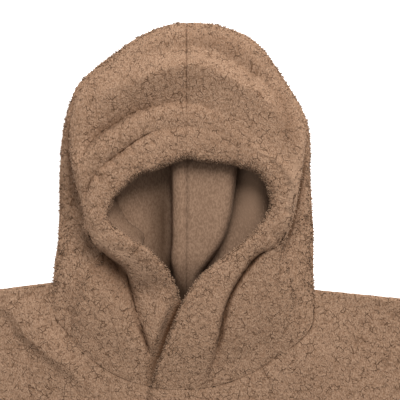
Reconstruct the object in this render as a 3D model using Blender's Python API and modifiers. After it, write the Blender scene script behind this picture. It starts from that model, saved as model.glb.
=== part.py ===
"""Hooded fleece poncho, laid on its back with the hood face up. Metres, +Z up, crown towards +Y."""
import math

import bmesh
import bpy
import numpy as np

# Driving sizes. The tables are in millimetres: x from the centre-back seam, y up from the shoulder line.
MM = 0.001
WALL = 3.0                  # knit ground and the pile that stands on it
SEAM = 0.3                  # gap between two sewn edges
LAYER = WALL + SEAM         # from the middle of one cloth to the middle of the next one on it
FLOOR = WALL / 2            # middle of a cloth that lies on the ground
BODY_WIDTH = 1000.0
BODY_LENGTH = 750.0         # shoulder line to hem
HOOD_RISE = 290.0           # shoulder line to the top of the crown
SHOULDER_DROP = 40.0        # fall of the shoulder line from the neck to its end
CORNER_RADIUS = 110.0       # lower corners of the body
CORNER_POINTS = 12
CORNER_WEIGHT = 34.0        # extra length for each of them, when the columns of the mesh are shared out
HEM_TURN = 22.0             # width of the hood's hem that is turned in
ROLL = 6.5                  # fullness of the turned hem round the face
RIM_HEIGHT = 7.5            # middle of the fold at the hood's outline
SHOULDER_ROUND = 3.1        # how far the two panels curl in to their shoulder seam
SHOULDER_FULL = 3.0         # how much the front stands up beside that seam
SHOULDER_FOOT = 0.45        # upright strip at the seam itself
NECK_REACH = 75.0           # how far from the neck seam the body's cloth stays lifted
Y_CENTRE = (HOOD_RISE - BODY_LENGTH) / 2

HOOD_ROWS = 33
BODY_ROWS = 14
STEPS = 2                   # mesh columns from one named point of a section to the next
EDGE, GROOVE, LIP, RIM = 3, 7, 10, 14    # places of named points along a section
FLEECE_COLOUR = (0.30, 0.185, 0.117, 1.0)

# Sections of the hood, from the neck seam round the face opening to the seam over the crown.
# edge: the face edge. groove: where the turned hem is stitched. puff: height of the cloth behind it.
# lip: where the front turns down. tuck: how far it runs back under itself. rim: the outline.
# lean: share of the turned hem that shows inside the opening. seam_y: where the row meets the back seam.
SECTION_COLUMNS = ("edge_x", "edge_y", "edge_z", "groove_x", "groove_y", "groove_z", "puff",
                   "lip_x", "lip_y", "lip_z", "tuck", "rim_x", "rim_y", "lean", "seam_y")
LEFT_SECTIONS = (
    (15, -106, 9.4, -38, -107, 8.6, 8.4, -124, -57, 9, 0, -144, 5, 0, -20),
    (11, -80, 10.5, -40, -72, 9, 17, -120, -30, 16, 0, -144, 15, 0, -4),
    (3, -46, 12, -52, -38, 9.5, 22, -114, -4, 20, 0, -143, 30, 0, 14),
    (-9, -10, 17.5, -61, -4, 11, 24, -106, 17, 21, 1, -140, 48, 0, 32),
    (-21, 18, 29, -66, 20, 16, 24, -92, 31, 21, 2, -139, 64, 0.1, 50),
    (-40, 41, 38, -82, 35, 27, 27, -97, 44, 24, 5, -138, 82, 0.4, 70),
    (-64, 55, 43, -99, 50, 38, 37, -111, 63, 31, 9, -138, 100, 0.9, 88),
    (-86, 74, 45, -109, 76, 42, 42, -116, 88, 36, 12, -138, 118, 1.0, 106),
    (-84, 92, 46, -110, 97, 44, 45, -120, 107, 38, 14, -137, 136, 0.8, 122),
    (-75, 106, 47, -104, 117, 45, 49, -124, 130, 38, 12, -136, 154, 0.3, 138),
    (-62, 118, 47, -90, 134, 45, 50, -126, 156, 37, 9, -133, 176, 0.1, 152),
    (-48, 128, 48, -73, 148, 45, 50, -124, 188, 33, 5, -127, 200, 0, 166),
    (-34, 131, 48, -55, 162, 44, 48, -110, 220, 28, 2, -114, 227, 0, 180),
    (-22, 136, 48, -36, 170, 43, 47, -71, 251, 28, 0, -75, 259, 0, 192),
    (-11, 140, 48, -18, 174, 43, 47, -37, 273, 28, 0, -39, 281, 0, 202),
    (0, 143, 48, 0, 176, 43, 47, 0, 281, 28, 0, 0, 289, 0, 210),
)
RIGHT_SECTIONS = (
    (-40, -108, 17.4, 22, -108, 11, 9, 128, -55, 10, 0, 139, -3, 0, -20),
    (-33, -82, 21.5, 28, -80, 11, 17, 118, -34, 16, 0, 138, 10, 0, -4),
    (-22, -54, 27, 35, -55, 12, 23, 116, -8, 20, 0, 138, 28, 0, 14),
    (-7, -18, 33, 43, -18, 13, 26, 112, 16, 22, 0, 138, 46, 0, 32),
    (13, 11, 35, 57, 10, 15, 27, 108, 34, 24, 1, 138, 62, 0, 50),
    (41, 33, 40, 77, 36, 24, 30, 104, 44, 28, 3, 137, 80, 0, 70),
    (70, 57, 44, 97, 48, 37, 37, 110, 56, 33, 7, 136, 97, 0.1, 88),
    (87, 78, 46, 111, 72, 43, 43, 120, 82, 37, 9, 135, 113, 0.3, 106),
    (93, 95, 47, 115, 97, 44, 46, 125, 110, 38, 8, 134, 132, 0.3, 122),
    (87, 115, 48, 112, 122, 45, 49, 129, 146, 37, 4, 134, 156, 0.2, 138),
    (75, 129, 48, 94, 143, 45, 50, 126, 180, 33, 2, 129, 188, 0, 152),
    (56, 138, 48, 70, 158, 45, 49, 98, 228, 28, 0, 102, 235, 0, 166),
    (34, 141, 48, 40, 169, 44, 48, 70, 263, 28, 0, 74, 270, 0, 180),
    (16, 143, 48, 18, 174, 43, 47, 34, 278, 28, 0, 36, 286, 0, 196),
    (0, 143, 48, 0, 176, 43, 47, 0, 281, 28, 0, 0, 289, 0, 210),
)

# The neck seam: front from the left shoulder round to the right, then the back.
NECK_FRONT = ((-144.5, 5), (-146.5, -13), (-144, -33), (-133, -47), (-117, -68), (-100, -82), (-78, -96),
              (-51, -106), (-29, -110), (4, -111), (31, -108), (59, -99), (83, -87), (97, -77), (114, -66),
              (128, -55), (137, -43), (140, -24), (139, -3))
NECK_BACK = ((-144.5, 5), (-143, -4), (-134, -13), (-105, -18), (-60, -20), (0, -21), (60, -20), (104, -19),
             (129, -16), (138, -10), (139, -3))

# The inside of the hood's back: its middle stands up between two pleats, beside a soft cheek.
PLEAT_COLUMNS = ("y", "left", "right", "rise", "left_cheek", "right_cheek")
PLEATS = (
    (-12, -10, 11, 0.0, 0, 0),
    (8, -14, 14, 0.15, 1, 0),
    (28, -18, 22, 0.6, 4, 1),
    (53, -16, 37, 1.0, 8, 3),
    (75, -16, 45, 1.0, 13, 4),
    (102, -16, 51, 1.0, 15, 4),
    (135, -17, 55, 1.0, 11, 3),
    (160, -18, 56, 0.7, 6, 0),
    (200, -18, 56, 0.0, 0, 0),
)
PLEAT_RISE = 18.0
CHEEK_SHARE = 0.42          # share of the way from the outline to the back seam
# Share of the way from the outline to the back seam, run under the pleat opened and folded, height.
PLEAT_STEPS = (
    (0.56, -7.0, 8.0, 0.0),
    (0.66, -3.0, 13.0, 0.26),
    (0.76, 0.0, 8.0, 0.5),
    (0.86, 3.0, 0.0, 0.78),
    (0.93, 7.0, 6.0, 1.0),
)

# Largest folds: height at points along the crest or trough, and how wide it is on either side of it.
HOOD_FOLDS = {
    "crown_crease": {"left": 26.0, "right": 6.0, "rows": (
        (-112, 135, 0), (-103, 151, -4), (-88, 164, -6), (-74, 174, -7), (-59, 185, -7), (-33, 194, -7),
        (0, 198, -6), (16, 196, -4), (36, 190, -2), (70, 176, 0))},
    "crown_ridge": {"left": 16.0, "right": 9.0, "rows": (
        (-95, 228, 0), (-59, 243, 3), (-17, 251, 4.5), (0, 256, 5), (24, 252, 5), (49, 238, 4.5), (64, 225, 4),
        (77, 215, 3), (104, 190, 0))},
}
BODY_FOLDS = {
    "left_step": {"left": 40.0, "right": 7.0, "rows": (
        (-260, 0, 0), (-215, -12, 4), (-192, -26, 6), (-178, -48, 7), (-156, -68, 7), (-134, -85, 5),
        (-112, -104, 2), (-92, -122, 0))},
    "left_drape": {"left": 30.0, "right": 34.0, "rows": (
        (-160, -140, 0), (-215, -210, 5), (-265, -300, 8), (-300, -420, 7), (-322, -540, 4), (-335, -650, 0))},
    "right_drape": {"left": 28.0, "right": 38.0, "rows": (
        (150, -110, 0), (205, -190, 5), (252, -290, 7), (290, -410, 8), (318, -520, 5), (330, -640, 0))},
    "middle_drape": {"left": 40.0, "right": 32.0, "rows": (
        (20, -190, 0), (38, -280, 4), (52, -380, 6), (48, -500, 5), (36, -600, 3), (30, -700, 0))},
}


def table(rows, columns):
    """A table of rows as one array for each named column."""
    return {name: np.array([row[i] for row in rows], float) for i, name in enumerate(columns)}


def spline(knots, values, at):
    """A smooth curve through values at uneven knots, with slopes weighted by the spacing."""
    knots, at = np.asarray(knots, float), np.asarray(at, float)
    values = np.asarray(values, float)
    flat = values.reshape(len(knots), -1)
    step = np.diff(knots)[:, None]
    rate = np.diff(flat, axis=0) / step
    slope = np.empty_like(flat)
    slope[1:-1] = (rate[:-1] * step[1:] + rate[1:] * step[:-1]) / (step[:-1] + step[1:])
    slope[0], slope[-1] = rate[0], rate[-1]
    i = np.clip(np.searchsorted(knots, at, side="right") - 1, 0, len(knots) - 2)
    width = step[i]
    t = (at - knots[i])[:, None] / width
    out = (flat[i] * (2 * t**3 - 3 * t**2 + 1) + flat[i + 1] * (3 * t**2 - 2 * t**3)
           + slope[i] * width * (t**3 - 2 * t**2 + t) + slope[i + 1] * width * (t**3 - t**2))
    return out.reshape(at.shape + values.shape[1:])


def unit(v):
    return v / np.maximum(np.linalg.norm(v, axis=-1, keepdims=True), 1e-9)


def smooth(x):
    """0 below 0, 1 above 1, and a smooth rise between."""
    x = np.clip(x, 0.0, 1.0)
    return x * x * (3 - 2 * x)


def arc_lengths(line):
    return np.concatenate([[0], np.cumsum(np.linalg.norm(np.diff(line[:, :2], axis=0), axis=1))])


def along_line(line, arcs):
    """The points of a line at the given lengths along it."""
    lengths = arc_lengths(line)
    return np.stack([np.interp(arcs, lengths, line[:, k]) for k in range(line.shape[1])], axis=1)


def dense(points, count=600):
    """A smooth curve through points, as many points close together."""
    points = np.array(points, float)
    reach = arc_lengths(points)
    return spline(reach, points, np.linspace(0, reach[-1], count))


def nearest(line, points):
    """The points of a dense line that lie nearest to the given ones."""
    gap = np.linalg.norm(line[None] - points[:, None], axis=2)
    return line[np.argmin(gap, axis=1)]


def relief(folds, points):
    """Height that the folds add at each plan point."""
    flat = points.reshape(-1, 2)
    height = np.zeros(len(flat))
    for fold in folds.values():
        line = dense(fold["rows"], 160)
        offset = flat[:, None] - line[None, :, :2]
        close = np.argmin(np.linalg.norm(offset, axis=2), axis=1)
        gap = offset[np.arange(len(flat)), close]
        along = np.gradient(line[:, :2], axis=0)[close]
        on_left = along[:, 0] * gap[:, 1] - along[:, 1] * gap[:, 0] > 0
        width = np.where(on_left, fold["left"], fold["right"])
        height += line[close, 2] * np.exp(-(np.linalg.norm(gap, axis=1) / width) ** 2)
    return height.reshape(points.shape[:-1])


def pleats_at(y):
    """Edges, rise and cheeks of the hood's back at each height y."""
    pleats = table(PLEATS, PLEAT_COLUMNS)
    return {name: np.interp(y, pleats["y"], pleats[name]) for name in PLEAT_COLUMNS[1:]}


def point(xy, z):
    z = np.broadcast_to(np.asarray(z, float), (len(xy),))
    return np.concatenate([xy, z[:, None]], axis=1)


def front_controls(row):
    """The turned hem and the front of each section, as far as the outline."""
    def plan(name):
        return np.stack([row[name + "_x"], row[name + "_y"]], axis=1)

    edge, groove, lip, rim = plan("edge"), plan("groove"), plan("lip"), plan("rim")
    edge_z, groove_z, puff, lip_z = row["edge_z"], row["groove_z"], row["puff"], row["lip_z"]
    outward = unit(groove - edge)
    band = np.linalg.norm(groove - edge, axis=1)
    full = smooth((edge_z - 14) / 20)
    under = LAYER + 0.8 + ROLL * full
    radius = under / 2
    lean = row["lean"]
    points = []
    # The turned hem lies under the band, or leans into the opening where its inner side shows.
    swing = np.radians(148.0) * lean
    for inset in (HEM_TURN, 10.0):
        run = inset * np.cos(swing)
        drop = inset * np.sin(swing) * (0.45 + 0.4 * lean)
        points.append(point(edge + outward * run[:, None], edge_z - under - drop))
    for angle in (-75, 0, 75):
        turn = math.radians(angle)
        run = radius * (1 - math.cos(turn)) * (1 - lean * (turn < 0))
        points.append(point(edge + outward * run[:, None], edge_z - radius * (1 - math.sin(turn))))
    crest = np.maximum(edge_z, groove_z) + 3.5 * full
    points.append(point(edge + outward * (band * 0.42)[:, None], crest))
    points.append(point(edge + outward * (band * 0.8)[:, None], edge_z * 0.5 + groove_z * 0.5 + 1.5 * full))
    points.append(point(groove, groove_z))
    across = lip - groove
    near = np.minimum(11.0 / np.linalg.norm(across, axis=1), 0.35)
    points.append(point(groove + across * near[:, None], groove_z * 0.3 + puff * 0.7 + 0.8 * full))
    points.append(point(groove + across * 0.66, puff))
    points.append(point(lip, lip_z))
    inward = unit(groove - lip) * row["tuck"][:, None]
    fall = rim - lip
    tucked = np.clip(row["tuck"] / 8, 0, 1)
    rim_z = np.minimum(RIM_HEIGHT, 0.3 * lip_z + 2.3)
    for back, along, folded, plain in ((0.9, 0.12, 0.58, 0.72), (0.5, 0.35, 0.2, 0.45), (0.0, 0.78, 0.17, 0.24)):
        share = tucked * folded + (1 - tucked) * plain
        points.append(point(lip + inward * back + fall * along, rim_z + (lip_z - rim_z) * share))
    points.append(point(rim, rim_z))
    return points


def back_controls(row, side):
    """The back of each section, from the outline to the centre-back seam."""
    rim = np.stack([row["rim_x"], row["rim_y"]], axis=1)
    seam = np.stack([np.full(len(rim), side * SEAM / 2), row["seam_y"]], axis=1)
    home = seam - rim
    crease_name, cheek_name = ("left", "left_cheek") if side < 0 else ("right", "right_cheek")
    points = [point(rim + unit(home) * 5.0, FLOOR)]
    for share, height in ((0.17, 0.12), (CHEEK_SHARE, 1.0)):
        xy = rim + home * share
        points.append(point(xy, FLOOR + pleats_at(xy[:, 1])[cheek_name] * height))
    # The cloth runs under its own fold, comes back out to the pleat's edge, and turns over.
    for share, opened, folded, level in PLEAT_STEPS:
        x, y = (rim + home * share).T
        pleat = pleats_at(y)
        crease, rise = pleat[crease_name], pleat["rise"]
        run = opened + (folded - opened) * smooth((rise - 0.45) / 0.4)
        apart = smooth((abs(rim[:, 0]) * (1 - CHEEK_SHARE) - abs(crease) - 7) / 8)
        x = x + (crease - side * run - x) * apart
        points.append(point(np.stack([x, y], axis=1), FLOOR + PLEAT_RISE * level * rise))
    points.append(point(seam, FLOOR + PLEAT_RISE * pleats_at(seam[:, 1])["rise"]))
    return points


def hood_grid(sections, side):
    """The middle surface of one half of the hood, as rows of points from the hem to the centre back."""
    columns = table(sections, SECTION_COLUMNS)
    last = len(sections) - 1
    row = {}
    for name, values in columns.items():
        mirrored = -values[-2] if name.endswith("_x") else values[-2]
        row[name] = spline(np.arange(last + 2), np.append(values, mirrored), np.linspace(0, last, HOOD_ROWS))
    controls = np.stack(front_controls(row) + back_controls(row, side), axis=1)
    controls[-1, :, 0] = side * SEAM / 2
    count = controls.shape[1]
    places = np.linspace(0, count - 1, (count - 1) * STEPS + 1)
    grid = []
    for points in controls:
        gap = np.linalg.norm(np.diff(points, axis=0), axis=1)
        knots = np.concatenate([[0], np.cumsum(np.sqrt(np.maximum(gap, 0.2)))])
        grid.append(spline(knots, points, np.interp(places, np.arange(count), knots)))
    grid = np.array(grid)
    # Folds lie in the front, from the stitched line of the hem to the outline.
    front = smooth((places - GROOVE) / 1.2) * smooth((LIP + 0.6 - places) / 1.0)
    grid[..., 2] += relief(HOOD_FOLDS, grid[..., :2]) * front
    grid[..., 2] = np.maximum(grid[..., 2], FLOOR)
    rim = RIM * STEPS
    grid[0, :rim + 1, :2] = nearest(dense(NECK_FRONT), grid[0, :rim + 1, :2])
    grid[0, rim:, :2] = nearest(dense(NECK_BACK), grid[0, rim:, :2])
    grid[0, -1, 0] = side * SEAM / 2
    # The strip along the neck seam lies level, as the body's edge does beside it.
    strip = grid[0] + unit(grid[1] - grid[0]) * 3.0
    strip[:, 2] = grid[0, :, 2]
    strip[-1, 0] = side * SEAM / 2
    return np.concatenate([grid[:1], strip[None], grid[1:]])


def body_outline():
    """The body's edge from the left end of the shoulder, down the side, along the hem and up again."""
    half = (BODY_WIDTH - WALL) / 2
    low = WALL / 2 - BODY_LENGTH
    points = [(-half, -SHOULDER_DROP)]
    for side in (-1, 1):
        angles = np.linspace(0, math.pi / 2, CORNER_POINTS)
        for angle in angles if side < 0 else angles[::-1]:
            x = side * (half - CORNER_RADIUS + CORNER_RADIUS * math.cos(angle))
            points.append((x, low + CORNER_RADIUS - CORNER_RADIUS * math.sin(angle)))
    points.append((half, -SHOULDER_DROP))
    return np.array(points)


def body_grid(neck, rows, facing):
    """A panel of the body, as rays from its neckline to its edge. facing: 1 for the front, -1 for the back."""
    edge = body_outline()
    neck_total, edge_total = arc_lengths(neck)[-1], arc_lengths(edge)[-1]
    inner = arc_lengths(neck)
    inner = inner[(inner > 12) & (inner < neck_total - 12)]
    curl = SHOULDER_ROUND * (1 - np.cos(np.radians([0, 30, 60, 90])))
    brink = np.concatenate([[0.0], curl, [9.0]])
    at_neck = np.concatenate([brink, inner, neck_total - brink[::-1]])
    weighted = arc_lengths(edge) + CORNER_WEIGHT * np.arange(len(edge))
    spread = np.interp(inner / neck_total * weighted[-1], weighted, arc_lengths(edge))
    at_edge = np.concatenate([brink, spread, edge_total - brink[::-1]])
    start, end = along_line(neck, at_neck), along_line(edge, at_edge)
    ahead = along_line(neck, np.minimum(at_neck + 2, neck_total))[:, :2]
    behind = along_line(neck, np.maximum(at_neck - 2, 0))[:, :2]
    heading = unit(ahead - behind)
    away = np.stack([heading[:, 1], -heading[:, 0]], axis=1)
    corner = np.minimum(at_neck, neck_total - at_neck)
    plan_start = start[:, :2] + away * (SEAM + 1.7 * np.exp(-(corner / 5) ** 2))[:, None]
    share = rows[:, None]
    plan = plan_start[None] + (end - plan_start)[None] * share[..., None]
    out = share * np.linalg.norm(end - plan_start, axis=1)[None]
    from_seam = (1 - share) * corner + share * np.minimum(at_edge, edge_total - at_edge)
    top = np.full(out.shape, FLOOR)
    if facing > 0:
        level = FLOOR + LAYER + SHOULDER_FULL * np.exp(-(from_seam / 16) ** 2)
        collar = np.maximum(start[:, 2], FLOOR + LAYER + SHOULDER_FULL)
        top = level + (collar - level) * smooth(1 - (out - 3) / NECK_REACH)
        folds = np.maximum(relief(BODY_FOLDS, plan), 0)
        top = top + folds * smooth(out / 25) * smooth(from_seam / 30)
    # Beside the shoulder the two panels curl together, and meet in their seam.
    seam_z = FLOOR + (LAYER + SHOULDER_FULL) / 2
    bend = np.sqrt(1 - np.clip(1 - corner / SHOULDER_ROUND, 0, 1) ** 2)
    foot = np.full(len(corner), SHOULDER_FOOT)
    foot[[0, -1]] = 0.0
    climb = abs(top - seam_z) - SEAM / 2
    height = seam_z + facing * (SEAM / 2 + foot + (climb - foot) * bend)
    return np.concatenate([plan, height[..., None]], axis=2)


def clear_scene():
    for thing in list(bpy.data.objects):
        bpy.data.objects.remove(thing, do_unlink=True)


def fleece(name):
    material = bpy.data.materials.new(name)
    material.use_nodes = True
    shader = material.node_tree.nodes["Principled BSDF"]
    shader.inputs["Base Color"].default_value = FLEECE_COLOUR
    shader.inputs["Roughness"].default_value = 0.95
    shader.inputs["Metallic"].default_value = 0.0
    return material


def cloth_object(name, grid, collection, flip=False):
    """A wall of cloth on a grid of middle points."""
    rows, columns = grid.shape[:2]
    bm = bmesh.new()
    verts = [[bm.verts.new((x * MM, (y - Y_CENTRE) * MM, z * MM)) for x, y, z in row] for row in grid]
    for i in range(rows - 1):
        for j in range(columns - 1):
            corners = [verts[i][j], verts[i][j + 1], verts[i + 1][j + 1], verts[i + 1][j]]
            bm.faces.new(corners[::-1] if flip else corners)
    mesh = bpy.data.meshes.new(name)
    bm.to_mesh(mesh)
    bm.free()
    mesh.shade_smooth()
    mesh.materials.append(fleece(name + "_fleece"))
    cloth = bpy.data.objects.new(name, mesh)
    wall = cloth.modifiers.new("wall", "SOLIDIFY")
    wall.thickness = WALL * MM
    wall.offset = 0.0
    collection.objects.link(cloth)
    return cloth


def main():
    clear_scene()
    collection = bpy.data.collections.new("fleece_poncho")
    bpy.context.scene.collection.children.link(collection)
    left, right = hood_grid(LEFT_SECTIONS, -1), hood_grid(RIGHT_SECTIONS, 1)
    rim, edge, groove = RIM * STEPS, EDGE * STEPS, GROOVE * STEPS
    front_neck = np.concatenate([left[0, groove + 1:rim + 1][::-1], right[0, edge + 1:rim + 1]])
    back_neck = np.concatenate([left[0, rim:-1], right[0, rim:-1][::-1]])
    rows = np.concatenate([[0, 0.008], np.linspace(0, 1, BODY_ROWS)[1:] ** 1.6])
    cloth_object("back", body_grid(back_neck, rows[::2], -1), collection)
    cloth_object("front", body_grid(front_neck, rows, 1), collection)
    cloth_object("hood_left", left, collection)
    cloth_object("hood_right", right, collection, flip=True)


main()
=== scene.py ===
"""Looks of a hooded poncho of curly-pile fleece, laid on its back with the hood's face opening up."""
import itertools
import math
from collections import namedtuple

import bpy
import numpy as np
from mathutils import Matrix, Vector
from mathutils.geometry import delaunay_2d_cdt
from mathutils.kdtree import KDTree


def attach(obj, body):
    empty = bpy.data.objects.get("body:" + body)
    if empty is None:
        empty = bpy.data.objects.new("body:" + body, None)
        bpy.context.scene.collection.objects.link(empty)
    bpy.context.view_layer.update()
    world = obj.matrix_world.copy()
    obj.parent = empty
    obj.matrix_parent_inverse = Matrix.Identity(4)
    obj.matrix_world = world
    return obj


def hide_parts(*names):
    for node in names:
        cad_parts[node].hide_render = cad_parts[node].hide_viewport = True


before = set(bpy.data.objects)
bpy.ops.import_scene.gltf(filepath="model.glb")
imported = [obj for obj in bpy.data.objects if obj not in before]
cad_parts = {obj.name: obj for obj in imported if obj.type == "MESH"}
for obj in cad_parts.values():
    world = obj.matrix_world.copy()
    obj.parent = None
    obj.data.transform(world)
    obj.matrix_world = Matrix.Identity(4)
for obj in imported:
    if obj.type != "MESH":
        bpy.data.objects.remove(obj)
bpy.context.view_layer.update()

# ---- sizes
# The tables are in millimetres: x from the centre-back seam, y up from the shoulder line.
MM = 0.001
WALL = 3.0                  # knit ground and the pile that stands on it
SEAM = 0.3                  # gap between two sewn edges
LAYER = WALL + SEAM
FLOOR = WALL / 2            # middle of a cloth that lies on the ground
BODY_WIDTH = 1000.0
BODY_LENGTH = 750.0         # shoulder line to hem
HOOD_RISE = 290.0           # shoulder line to the top of the crown
SHOULDER_DROP = 40.0
CORNER_RADIUS = 110.0
HEM_TURN = 22.0             # width of the hood's hem that is turned in
ROLL = 6.5                  # fullness of the turned hem round the face
STITCH_WIDTH = 1.9          # half the width of the trough along the hem's stitches
RIM_HEIGHT = 7.5            # middle of the fold at the hood's outline
FAINT = 0.35                # share of a seam's groove where the pile closes over it
BACK_SHARE = 0.12           # the same inside the hood, times FAINT
SEAM_SHADE = 0.75           # share of painted shade deep in a seam
CROWN_GROOVE = 1.0          # reach of the groove over the crown seam, and over the neck seam
NECK_GROOVE = 0.7
HEM_ROUND = 7.0             # how far the turned hem thins towards its cut edge
OPEN_ROUND = 1.5            # the same on the body's open edges
THINNEST = 0.12             # least share of the wall's thickness at an edge
SHOULDER_FULL = 3.0         # how much the front stands up beside the shoulder seam
SHOULDER_CURL = 4.6         # radius of the panels' outer side as they curl in to that seam
NECK_REACH = 75.0           # how far from the neck seam the body's cloth stays lifted
HEM_SWING = 148.0           # how far the hem turns out where its inner side shows, in degrees
NECK_CLOSE = 14.0           # how far from the neck seam the hood's rows close in on its line
TUFT = 9.0                  # size of a tuft of pile, and width of the crevices between tufts
CREVICE_WIDTH = 1.6
EDGE_GAP = -0.2             # the pile of two sewn edges meets over their seam
END_GAP = 1.7               # and stands this much further apart at the seam's two ends
Y_CENTRE = (HOOD_RISE - BODY_LENGTH) / 2

# What the photograph shows of the ground, and its middle there.
VIEW_WIDTH = 440.0
VIEW_CENTRE = (14.9, 96.8)
LENS = 350.0
SENSOR = 36.0

# Mesh spacing.
FINE = 1.15                 # the front panel, in the photograph's frame
HOOD_FINE = 1.4             # the hood's front
HEM_SPACING = 2.4           # the hood's turned hem
BACK_SPACING = 2.6          # the hood's back, and the body's open edges
COARSE = 4.3                # the front panel, far outside the frame
UNDER_SPACING = 8.0         # the back panel
LINING_SPACING = 11.0       # the sides of the panels that face each other
INNER_STEP = 3              # the hood's inner side has every third point

# Noise in layers: the size of the lumps, a seed, and a share.
SEAM_LUMPS = ((26.0, 140, 0.5), (7.0, 141, 0.25))       # how deep the groove over the neck seam is
STITCH_LUMPS = ((13.0, 150, 0.9), (5.0, 151, 0.3))      # how hard the hem's stitches pull
EDGE_LUMPS = ((9.0, 180, 1.5), (4.5, 181, 1.1))         # lumps along the face edge
PILE_LUMPS = ((4.6, 80, 0.16), (2.7, 81, 0.3))          # lumps of the curly pile
CREVICE_GAPS = ((6.0, 70, 1.0), (3.0, 71, 0.6), (46.0, 60, 1 / 3), (23.0, 91, 1 / 6))   # where crevices show

# Lines where the pile parts, painted dark as shade in the partings, in metres: size of the tufts between
# them, their width, size of their gaps, and how seldom they show. LINE_BEND: how far they stray.
LONG_PARTINGS = (0.0070, 0.00045, 0.009, 0.475)
SHORT_PARTINGS = (0.0033, 0.00042, 0.0036, 0.50)
LINE_BEND = (0.0042, 0.0042, 0.0042)

# Loose locks of pile. LOCK_BANDS: place along the section, spread, how many.
LOCK_LENGTH = (1.6, 3.2)
LOCK_WIDTH = (0.9, 1.6)
SHOULDER_LOCKS = 900        # along both shoulder seams
LOCK_BANDS = ((3.5, 0.7, 1500), (10.8, 0.5, 450), (14.4, 0.6, 900))

EDGE, GROOVE, LIP, RIM = 3, 7, 11, 15    # places of named points along a section

# Sections of the hood, from the neck seam round the face opening to the seam over the crown.
# edge: the face edge. groove: where the turned hem is stitched. puff: height of the cloth behind it.
# lip: where the front turns down. tuck: how far it runs back under itself. rim: the outline.
# lean: share of the turned hem that shows inside the opening. seam_y: where the row meets the back seam.
# stitch: depth of the narrow trough that the hem's stitches pull into the pile.
SECTION_COLUMNS = ("edge_x", "edge_y", "edge_z", "groove_x", "groove_y", "groove_z", "puff",
                   "lip_x", "lip_y", "lip_z", "tuck", "rim_x", "rim_y", "lean", "seam_y", "stitch")
LEFT_SECTIONS = (
    (15, -106, 9.4, -38, -107, 8.6, 8.4, -124, -57, 9, 0, -144, 5, 0, -20, 0),
    (11, -80, 10.5, -40, -72, 9, 17, -120, -30, 16, 0, -144, 15, 0, -4, 0),
    (3, -46, 12, -52, -38, 9.5, 22, -114, -4, 20, 0, -143, 30, 0, 14, 1.2),
    (-9, -10, 17.5, -61, -4, 11, 24, -106, 17, 21, 1, -140, 48, 0, 32, 2.2),
    (-21, 18, 29, -66, 20, 16, 24, -92, 31, 21, 2, -139, 64, 0.1, 50, 3.4),
    (-40, 41, 38, -82, 35, 27, 27, -97, 44, 24, 5, -138, 82, 0.4, 70, 3),
    (-64, 55, 43, -99, 50, 38, 37, -109, 63, 31, 9, -138, 100, 0.9, 88, 0),
    (-86, 74, 45, -109, 76, 40, 37, -111.5, 88, 31, 10, -138, 118, 1.0, 106, 0),
    (-84, 92, 46, -110, 97, 43, 42, -117, 107, 35, 12, -137, 136, 0.8, 122, 0.5),
    (-75, 106, 47, -104, 118, 46, 48, -122.5, 130, 37, 11, -136, 154, 0.3, 138, 1.6),
    (-62, 118, 47, -90, 135, 47, 50, -126, 156, 37, 9, -133, 176, 0.1, 152, 2.0),
    (-48, 128, 48, -73, 148, 47, 50, -124, 188, 33, 5, -127, 200, 0, 166, 2.4),
    (-34, 131, 48, -55, 161, 47, 48, -110, 220, 28, 2, -114, 227, 0, 180, 2.6),
    (-22, 136, 48, -36, 171, 47, 47, -71, 251, 28, 0, -75, 259, 0, 192, 1.8),
    (-11, 140, 48, -18, 174, 46.5, 47, -37, 273, 28, 0, -39, 281, 0, 202, 1.0),
    (0, 143, 48, 0, 176, 46.5, 47, 0, 281, 28, 0, 0, 290, 0, 210, 0.5),
)
RIGHT_SECTIONS = (
    (-36, -108, 19, 22, -108, 12, 10, 128, -55, 10, 0, 139, -3, 0, -20, 0),
    (-29, -82, 26, 30, -80, 16.5, 18, 118, -34, 16, 0, 138, 10, 0, -4, 0.3),
    (-18, -54, 32, 35, -55, 21, 25, 116, -8, 20, 0, 138, 28, 0, 14, 0.4),
    (-4, -18, 37, 43, -18, 26, 30, 112, 16, 23, 0, 138, 46, 0, 32, 0.5),
    (15, 11, 39, 57, 10, 29.3, 33, 108, 34, 26, 1, 138, 62, 0, 50, 0.6),
    (42, 33, 41, 77, 36, 32.5, 36, 104, 44, 29, 3, 137, 80, 0, 70, 0.8),
    (70, 57, 44, 97, 48, 38, 38, 108, 55, 33, 7, 136, 97, 0.1, 88, 0.5),
    (87, 78, 46, 109, 73, 45, 43, 116, 81, 37, 9, 135, 113, 0.3, 106, 0),
    (93, 95, 47, 113, 98, 48, 46, 121, 109, 38, 8, 134, 132, 0.3, 122, 0),
    (87, 115, 48, 111, 122, 50, 49, 127, 145, 37, 4, 134, 156, 0.2, 138, 0),
    (75, 129, 48, 94, 143, 50, 49, 126, 180, 33, 2, 129, 188, 0, 152, 0.4),
    (56, 136.5, 48, 70, 158, 49, 48, 98, 228, 28, 0, 102, 235, 0, 166, 0.6),
    (34, 139.5, 48, 40, 169, 48.8, 47.5, 70, 263, 28, 0, 74, 270, 0, 180, 0.4),
    (16, 141.5, 48, 18, 174, 48.3, 47.5, 34, 278, 28, 0, 36, 286.8, 0, 196, 0.6),
    (0, 143, 48, 0, 176, 46.5, 47, 0, 281, 28, 0, 0, 290, 0, 210, 0.5),
)

# The neck seam: front from the left shoulder round to the right, then the back.
NECK_FRONT = ((-144.5, 5), (-146.5, -13), (-144, -33), (-133, -47), (-117, -68), (-100, -82), (-78, -96),
              (-51, -106), (-29, -110), (4, -111), (31, -108), (59, -99), (83, -87), (97, -77), (114, -66),
              (128, -55), (137, -43), (140, -24), (139, -3))
NECK_BACK = ((-144.5, 5), (-143, -4), (-134, -13), (-105, -18), (-60, -20), (0, -21), (60, -20), (104, -19),
             (129, -16), (138, -10), (139, -3))

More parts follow.
